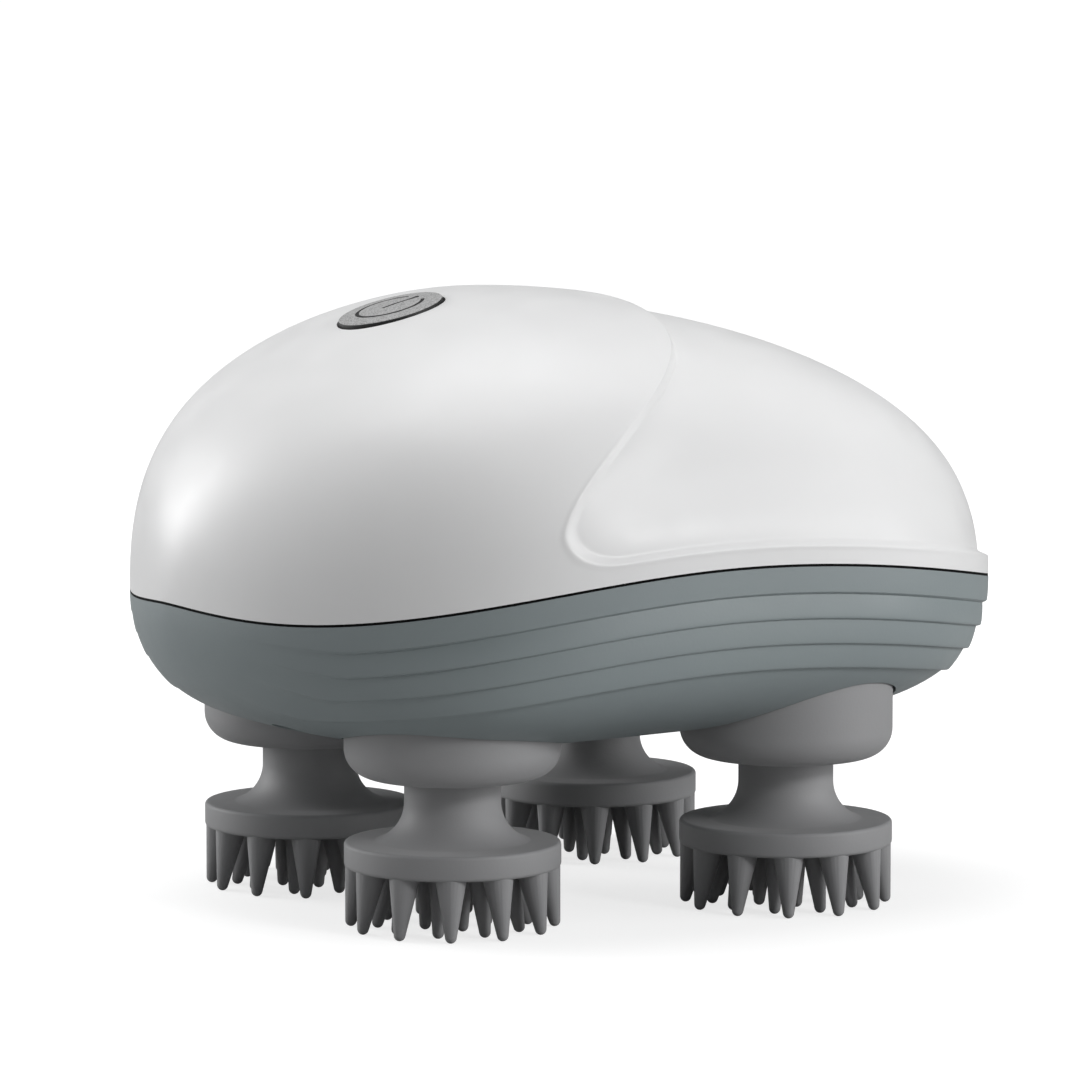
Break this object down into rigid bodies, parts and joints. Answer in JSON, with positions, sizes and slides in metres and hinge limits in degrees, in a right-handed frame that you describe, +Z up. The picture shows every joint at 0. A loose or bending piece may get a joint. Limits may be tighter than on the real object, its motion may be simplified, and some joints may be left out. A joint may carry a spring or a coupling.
{
  "type": "electric scalp massager",
  "caption": "Palm-sized domed scalp massager with a power button on its hood, lapped bands round its lower shell and counter-turning toothed silicone heads on geared spindles.",
  "frame": {"origin": "middle of the body in plan, at the level of the tooth tips that it stands on", "axes": "+X from the nose, where the button is, to the tail, where the charging port is; +Y across the body; +Z up from the tooth tips to the crown"},
  "size_m": [0.118, 0.095, 0.0805],
  "materials": {
    "shell_white": "glossy injection-moulded shell",
    "shell_grey": "satin moulded shell with a blue-green cast",
    "seal_black": "black elastomer",
    "button_grey": "matte grey with fine dark speckle",
    "switch_black": "black moulded plunger",
    "switch_metal": "pressed metal switch cover",
    "circuit_board": "green solder mask",
    "socket_metal": "drawn steel shell",
    "silicone_grey": "matte silicone",
    "steel": "turned steel",
    "gear_nylon": "natural nylon",
    "wheel_acetal": "natural acetal",
    "seal_rubber": "nitrile rubber",
    "bronze": "sintered bronze",
    "gearbox_black": "black glass-filled nylon",
    "motor_can": "nickel-plated can",
    "bracket_steel": "zinc-plated sheet",
    "cell_sleeve": "heat-shrunk sleeve"
  },
  "bodies": {
    "housing": {"upper_shell": "shell_white", "lower_shell": "shell_grey", "parting_seal": "seal_black", "tact_switch": "switch_metal", "button_board": "circuit_board", "button_screws": "steel", "collar_front_left": "silicone_grey", "collar_front_right": "silicone_grey", "collar_rear_left": "silicone_grey", "collar_rear_right": "silicone_grey", "lip_seal_front_left": "seal_rubber", "lip_seal_front_right": "seal_rubber", "lip_seal_rear_left": "seal_rubber", "lip_seal_rear_right": "seal_rubber", "bush_front_left": "bronze", "bush_front_right": "bronze", "bush_rear_left": "bronze", "bush_rear_right": "bronze", "collar_screws": "steel", "gearbox_base": "gearbox_black", "gearbox_cover": "gearbox_black", "gearbox_screws": "steel", "drive_axle": "steel", "idler_pins": "steel", "reduction_pin": "steel", "motor_case": "motor_can", "motor_bracket": "bracket_steel", "motor_screws": "steel", "bracket_screws": "steel", "battery_cell": "cell_sleeve", "battery_cradle": "gearbox_black", "cradle_screws": "steel", "charge_board": "circuit_board", "charge_socket": "socket_metal", "housing_screws": "steel"},
    "button": {"power_button": "button_grey", "button_seal": "seal_black", "switch_plunger": "switch_black"},
    "drive": {"drive_gear": "gear_nylon", "drive_wheel": "wheel_acetal"},
    "idler_front": {"idler_gear_front": "gear_nylon"},
    "idler_rear": {"idler_gear_rear": "gear_nylon"},
    "reduction": {"reduction_gear": "wheel_acetal"},
    "motor_rotor": {"motor_shaft": "steel", "motor_pinion": "bronze"},
    "port_cover": {"port_cover": "shell_grey"},
    "head_front_left": {"massage_head_front_left": "silicone_grey", "spindle_front_left": "steel", "head_gear_front_left": "gear_nylon"},
    "head_front_right": {"massage_head_front_right": "silicone_grey", "spindle_front_right": "steel", "head_gear_front_right": "gear_nylon"},
    "head_rear_left": {"massage_head_rear_left": "silicone_grey", "spindle_rear_left": "steel", "head_gear_rear_left": "gear_nylon"},
    "head_rear_right": {"massage_head_rear_right": "silicone_grey", "spindle_rear_right": "steel", "head_gear_rear_right": "gear_nylon"}
  },
  "joints": [
    {"name": "drive_spin", "type": "hinge", "parent": "housing", "child": "drive", "pos_m": [-0.00173, 0, 0.0374], "axis": [0, 0, 1], "continuous": true},
    {"name": "head_front_left_spin", "type": "hinge", "parent": "housing", "child": "head_front_left", "pos_m": [-0.0278, -0.0198, 0.0195], "axis": [0, 0, 1], "continuous": true},
    {"name": "head_front_right_spin", "type": "hinge", "parent": "housing", "child": "head_front_right", "pos_m": [-0.0278, 0.0198, 0.0195], "axis": [0, 0, 1], "continuous": true},
    {"name": "head_rear_left_spin", "type": "hinge", "parent": "housing", "child": "head_rear_left", "pos_m": [0.0194, -0.025, 0.0195], "axis": [0, 0, 1], "continuous": true},
    {"name": "head_rear_right_spin", "type": "hinge", "parent": "housing", "child": "head_rear_right", "pos_m": [0.0194, 0.025, 0.0195], "axis": [0, 0, 1], "continuous": true},
    {"name": "idler_front_spin", "type": "hinge", "parent": "housing", "child": "idler_front", "pos_m": [-0.01639, 0.01114, 0.0424], "axis": [0, 0, 1], "continuous": true},
    {"name": "idler_rear_spin", "type": "hinge", "parent": "housing", "child": "idler_rear", "pos_m": [0.01016, -0.01406, 0.0424], "axis": [0, 0, 1], "continuous": true},
    {"name": "reduction_spin", "type": "hinge", "parent": "housing", "child": "reduction", "pos_m": [-0.00173, 0.0192, 0.0522], "axis": [0, 0, 1], "continuous": true},
    {"name": "motor_spin", "type": "hinge", "parent": "housing", "child": "motor_rotor", "pos_m": [-0.00173, 0, 0.0574], "axis": [0, 0, 1], "continuous": true},
    {"name": "button_press", "type": "slide", "parent": "housing", "child": "button", "axis": [0.2649, 0, -0.9643], "range_m": [0, 0.0008], "stiffness_N_per_m": 800, "springref_m": -0.0002},
    {"name": "port_cover_hinge", "type": "hinge", "parent": "housing", "child": "port_cover", "pos_m": [0.0555, 0, 0.0321], "axis": [0, 1, 0], "range_deg": [0, 100]}
  ],
  "couplings": [
    {"joint": "head_front_left_spin", "follows": "drive_spin", "ratio": -1.6667},
    {"joint": "head_rear_right_spin", "follows": "drive_spin", "ratio": -1.6667},
    {"joint": "head_front_right_spin", "follows": "drive_spin", "ratio": 1.6667},
    {"joint": "head_rear_left_spin", "follows": "drive_spin", "ratio": 1.6667},
    {"joint": "idler_front_spin", "follows": "drive_spin", "ratio": -1.25},
    {"joint": "idler_rear_spin", "follows": "drive_spin", "ratio": -1.25},
    {"joint": "reduction_spin", "follows": "drive_spin", "ratio": -5.4},
    {"joint": "motor_spin", "follows": "drive_spin", "ratio": 29.16}
  ]
}
